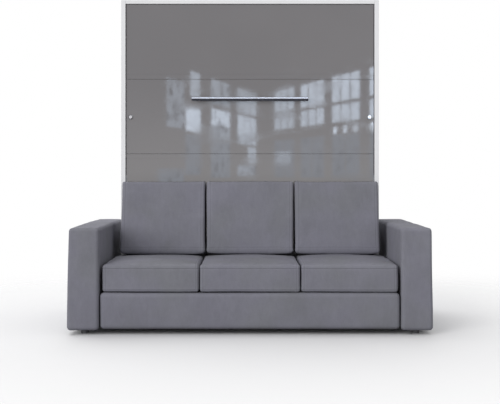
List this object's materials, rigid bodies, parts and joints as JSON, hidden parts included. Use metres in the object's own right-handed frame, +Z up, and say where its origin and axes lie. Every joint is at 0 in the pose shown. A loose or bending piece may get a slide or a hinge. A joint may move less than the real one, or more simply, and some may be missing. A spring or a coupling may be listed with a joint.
{
  "type": "wall bed with sofa",
  "caption": "Upright fold-down double bed in a cabinet with a glossy front, behind a sofa whose back cushions fold forward under it.",
  "frame": {"origin": "on the floor, in the middle of the part's width and depth", "axes": "+X to the right as seen from the room, +Y towards the wall, +Z up"},
  "size_m": [2.2586, 1.26, 2.19],
  "materials": {
    "white_board": "satin white melamine board",
    "gloss_grey_board": "high-gloss grey board",
    "sofa_fabric": "grey flat-woven upholstery cloth with a soft nap",
    "mattress_fabric": "quilted off-white ticking",
    "strap_webbing": "dark webbing",
    "beech": "clear-lacquered beech slats",
    "frame_board": "light grey melamine board",
    "chrome": "polished chrome",
    "brushed_metal": "satin metal",
    "steel": "zinc-plated steel plate",
    "black_steel": "black painted steel",
    "black_plastic": "black moulded plastic"
  },
  "bodies": {
    "cabinet_and_sofa": {"cabinet_side_left": "white_board", "cabinet_side_right": "white_board", "cabinet_top": "white_board", "cabinet_plinth": "white_board", "cabinet_back": "white_board", "wall_rail_lower": "white_board", "wall_rail_upper": "white_board", "pivot_plate_left": "steel", "pivot_plate_right": "steel", "spring_stud_left": "steel", "spring_stud_right": "steel", "sofa_arm_left": "sofa_fabric", "sofa_arm_right": "sofa_fabric", "sofa_base": "sofa_fabric", "sofa_back_rail": "sofa_fabric", "seat_cushion_left": "sofa_fabric", "seat_cushion_middle": "sofa_fabric", "seat_cushion_right": "sofa_fabric", "glide_front_left": "black_plastic", "glide_front_right": "black_plastic", "glide_back_left": "black_plastic", "glide_back_right": "black_plastic"},
    "bed": {"front_board_top": "gloss_grey_board", "front_board_upper": "gloss_grey_board", "front_board_lower": "gloss_grey_board", "front_board_bottom": "gloss_grey_board", "handle_bar": "brushed_metal", "handle_post_left": "brushed_metal", "handle_post_right": "brushed_metal", "bed_rail_left": "frame_board", "bed_rail_right": "frame_board", "bed_rail_head": "frame_board", "bed_rail_foot": "frame_board", "bed_middle_beam": "frame_board", "slat_ladder": "beech", "mattress": "mattress_fabric", "mattress_strap_head": "strap_webbing", "mattress_strap_foot": "strap_webbing", "pivot_arm_left": "steel", "pivot_arm_right": "steel", "leg_sleeve_left": "steel", "leg_sleeve_right": "steel"},
    "back_left": {"back_cushion_left": "sofa_fabric"},
    "back_middle": {"back_cushion_middle": "sofa_fabric"},
    "back_right": {"back_cushion_right": "sofa_fabric"},
    "cylinder_left": {"gas_cylinder_left": "black_steel"},
    "rod_left": {"gas_rod_left": "chrome"},
    "cylinder_right": {"gas_cylinder_right": "black_steel"},
    "rod_right": {"gas_rod_right": "chrome"},
    "leg_outer_left": {"leg_tube_outer_left": "chrome"},
    "leg_middle_left": {"leg_tube_middle_left": "chrome"},
    "leg_inner_left": {"leg_rod_left": "chrome", "leg_foot_left": "chrome"},
    "leg_outer_right": {"leg_tube_outer_right": "chrome"},
    "leg_middle_right": {"leg_tube_middle_right": "chrome"},
    "leg_inner_right": {"leg_rod_right": "chrome", "leg_foot_right": "chrome"}
  },
  "joints": [
    {"name": "bed_tilt", "type": "hinge", "parent": "cabinet_and_sofa", "child": "bed", "pos_m": [0, 0.14, 0.554], "axis": [1, 0, 0], "range_deg": [0, 90]},
    {"name": "back_fold_left", "type": "hinge", "parent": "cabinet_and_sofa", "child": "back_left", "pos_m": [-0.59025, -0.006, 0.463], "axis": [1, 0, 0], "range_deg": [0, 96.5]},
    {"name": "back_fold_middle", "type": "hinge", "parent": "cabinet_and_sofa", "child": "back_middle", "pos_m": [0, -0.006, 0.463], "axis": [1, 0, 0], "range_deg": [0, 96.5]},
    {"name": "back_fold_right", "type": "hinge", "parent": "cabinet_and_sofa", "child": "back_right", "pos_m": [0.59025, -0.006, 0.463], "axis": [1, 0, 0], "range_deg": [0, 96.5]},
    {"name": "spring_turn_left", "type": "hinge", "parent": "cabinet_and_sofa", "child": "cylinder_left", "pos_m": [-0.8449, 0.22, 0.954], "axis": [-1, 0, 0], "range_deg": [0, 7.29]},
    {"name": "spring_turn_right", "type": "hinge", "parent": "cabinet_and_sofa", "child": "cylinder_right", "pos_m": [0.8449, 0.22, 0.954], "axis": [-1, 0, 0], "range_deg": [0, 7.29]},
    {"name": "spring_stroke_left", "type": "slide", "parent": "cylinder_left", "child": "rod_left", "axis": [0, -0.0439, 0.999], "range_m": [0, 0.1545]},
    {"name": "spring_stroke_right", "type": "slide", "parent": "cylinder_right", "child": "rod_right", "axis": [0, -0.0439, 0.999], "range_m": [0, 0.1545]},
    {"name": "leg_pull_left", "type": "slide", "parent": "bed", "child": "leg_outer_left", "axis": [0, -1, 0], "range_m": [0, 0.1934]},
    {"name": "leg_second_stage_left", "type": "slide", "parent": "leg_outer_left", "child": "leg_middle_left", "axis": [0, -1, 0], "range_m": [0, 0.1934]},
    {"name": "leg_third_stage_left", "type": "slide", "parent": "leg_middle_left", "child": "leg_inner_left", "axis": [0, -1, 0], "range_m": [0, 0.1934]},
    {"name": "leg_pull_right", "type": "slide", "parent": "bed", "child": "leg_outer_right", "axis": [0, -1, 0], "range_m": [0, 0.1934]},
    {"name": "leg_second_stage_right", "type": "slide", "parent": "leg_outer_right", "child": "leg_middle_right", "axis": [0, -1, 0], "range_m": [0, 0.1934]},
    {"name": "leg_third_stage_right", "type": "slide", "parent": "leg_middle_right", "child": "leg_inner_right", "axis": [0, -1, 0], "range_m": [0, 0.1934]}
  ],
  "couplings": [
    {"joint": "back_fold_left", "follows": "bed_tilt", "ratio": 1.0722},
    {"joint": "back_fold_middle", "follows": "bed_tilt", "ratio": 1.0722},
    {"joint": "back_fold_right", "follows": "bed_tilt", "ratio": 1.0722},
    {"joint": "spring_turn_left", "follows": "bed_tilt", "ratio": 0.080895},
    {"joint": "spring_turn_right", "follows": "bed_tilt", "ratio": 0.080895},
    {"joint": "spring_stroke_left", "follows": "bed_tilt", "m_per_rad": 0.098294},
    {"joint": "spring_stroke_right", "follows": "bed_tilt", "m_per_rad": 0.098294},
    {"joint": "leg_second_stage_left", "follows": "leg_pull_left", "ratio": 1},
    {"joint": "leg_third_stage_left", "follows": "leg_pull_left", "ratio": 1},
    {"joint": "leg_second_stage_right", "follows": "leg_pull_right", "ratio": 1},
    {"joint": "leg_third_stage_right", "follows": "leg_pull_right", "ratio": 1}
  ]
}
